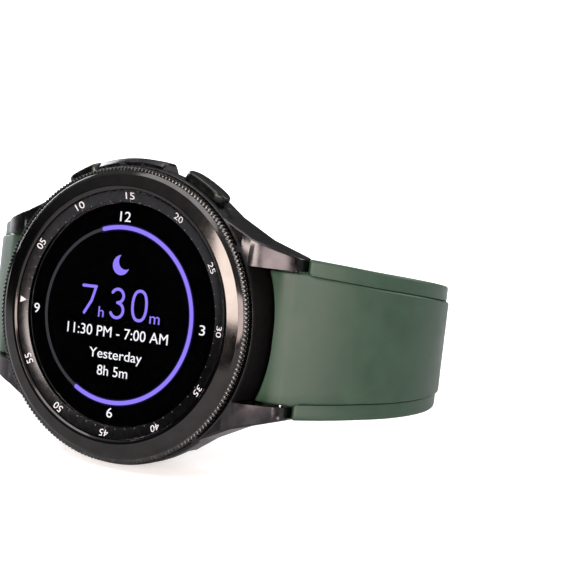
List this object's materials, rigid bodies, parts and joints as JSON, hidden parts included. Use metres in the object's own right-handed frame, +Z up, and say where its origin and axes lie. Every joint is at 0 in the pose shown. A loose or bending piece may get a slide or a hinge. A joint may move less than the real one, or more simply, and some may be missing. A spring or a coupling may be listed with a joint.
{
  "type": "smartwatch",
  "caption": "Round wrist smartwatch with a turning coin-edged bezel, side keys, a domed sensor back and an open two-piece silicone strap with a tang buckle.",
  "frame": {"origin": "bottom centre of the box round the watch, which stands on the side of its case", "axes": "+Z up with the two keys on top, display facing -Y and leaning back, +X towards the long strap"},
  "size_m": [0.0818, 0.0748, 0.0459],
  "materials": {
    "case_metal": "polished black steel",
    "bezel_metal": "polished black steel",
    "key_metal": "satin black steel",
    "numeral_ring": "satin dark grey",
    "cover_glass": "polished",
    "display": "black",
    "sheet_metal": "plain",
    "seal_rubber": "matte",
    "slip_ring": "smooth",
    "spring_steel": "plain",
    "detent_plastic": "moulded",
    "frame_plastic": "moulded",
    "circuit_board": "solder mask",
    "chip_black": "moulded",
    "battery_foil": "foil",
    "copper": "enamelled wire",
    "ferrite": "matte",
    "led_lens": "clear",
    "photodiode": "clear",
    "sensor_glass": "polished",
    "back_plastic": "gloss",
    "electrode_metal": "satin",
    "strap_silicone": "satin",
    "strap_hardware": "satin black"
  },
  "bodies": {
    "case": {"case_body": "case_metal", "cover_glass": "cover_glass", "glass_gasket": "seal_rubber", "display_panel": "display", "display_shield": "sheet_metal", "bezel_glide_ring": "slip_ring", "click_balls": "spring_steel", "click_springs": "spring_steel", "inner_frame": "frame_plastic", "main_board": "circuit_board", "board_chips": "chip_black", "board_shield": "sheet_metal", "battery": "battery_foil", "vibration_motor": "sheet_metal", "speaker_module": "detent_plastic", "microphone": "detent_plastic", "pressure_sensor": "detent_plastic", "home_key_switch": "detent_plastic", "back_key_switch": "detent_plastic", "charging_coil": "copper", "ferrite_sheet": "ferrite", "sensor_board": "circuit_board", "sensor_leds": "led_lens", "sensor_photodiodes": "photodiode", "sensor_window": "sensor_glass", "back_cover": "back_plastic", "back_gasket": "seal_rubber", "electrode_upper": "electrode_metal", "electrode_lower": "electrode_metal", "back_screws": "spring_steel"},
    "bezel": {"bezel_ring": "bezel_metal", "numeral_ring": "numeral_ring", "detent_ring": "detent_plastic", "bezel_retaining_ring": "sheet_metal"},
    "home_key": {"home_key_cap": "key_metal", "home_key_stem": "spring_steel", "home_key_seal": "seal_rubber", "home_key_clip": "spring_steel"},
    "back_key": {"back_key_cap": "key_metal", "back_key_stem": "spring_steel", "back_key_seal": "seal_rubber", "back_key_clip": "spring_steel"},
    "long_strap": {"long_strap": "strap_silicone", "long_strap_spring_bar": "strap_hardware"},
    "long_release": {"long_strap_release_pin": "strap_hardware"},
    "short_strap": {"short_strap": "strap_silicone", "short_strap_spring_bar": "strap_hardware", "fixed_keeper": "strap_silicone", "buckle_pin": "strap_hardware"},
    "short_release": {"short_strap_release_pin": "strap_hardware"},
    "keeper": {"free_keeper": "strap_silicone"},
    "buckle": {"buckle_frame": "strap_hardware"},
    "tang": {"buckle_tang": "strap_hardware"}
  },
  "joints": [
    {"name": "bezel_turn", "type": "hinge", "parent": "case", "child": "bezel", "pos_m": [0.00061, -0.03198, 0.02308], "axis": [0, -0.9769, 0.2138], "continuous": true},
    {"name": "home_key_press", "type": "slide", "parent": "case", "child": "home_key", "axis": [-0.4695, -0.1888, -0.8625], "range_m": [0, 0.0004], "stiffness_N_per_m": 1500, "springref_m": -0.0002},
    {"name": "back_key_press", "type": "slide", "parent": "case", "child": "back_key", "axis": [0.4695, -0.1888, -0.8625], "range_m": [0, 0.0004], "stiffness_N_per_m": 1500, "springref_m": -0.0002},
    {"name": "long_strap_swing", "type": "hinge", "parent": "case", "child": "long_strap", "pos_m": [0.02601, -0.02495, 0.02154], "axis": [0, -0.2138, -0.9769], "range_deg": [0, 30]},
    {"name": "short_strap_swing", "type": "hinge", "parent": "case", "child": "short_strap", "pos_m": [-0.02479, -0.02495, 0.02154], "axis": [0, 0.2138, 0.9769], "range_deg": [0, 30]},
    {"name": "long_release_slide", "type": "slide", "parent": "long_strap", "child": "long_release", "axis": [0, 0.2138, 0.9769], "range_m": [0, 0.0012], "stiffness_N_per_m": 300, "springref_m": -0.0005},
    {"name": "short_release_slide", "type": "slide", "parent": "short_strap", "child": "short_release", "axis": [0, 0.2138, 0.9769], "range_m": [0, 0.0012], "stiffness_N_per_m": 300, "springref_m": -0.0005},
    {"name": "keeper_slide", "type": "slide", "parent": "short_strap", "child": "keeper", "axis": [0.3907, 0.8992, -0.1968], "range_m": [-0.002, 0.002]},
    {"name": "buckle_swing", "type": "hinge", "parent": "short_strap", "child": "buckle", "pos_m": [-0.02145, 0.02021, 0.01166], "axis": [0, 0.2138, 0.9769], "range_deg": [0, 30]},
    {"name": "tang_swing", "type": "hinge", "parent": "buckle", "child": "tang", "pos_m": [-0.02145, 0.02021, 0.01166], "axis": [0, 0.2138, 0.9769], "range_deg": [0, 80]}
  ]
}
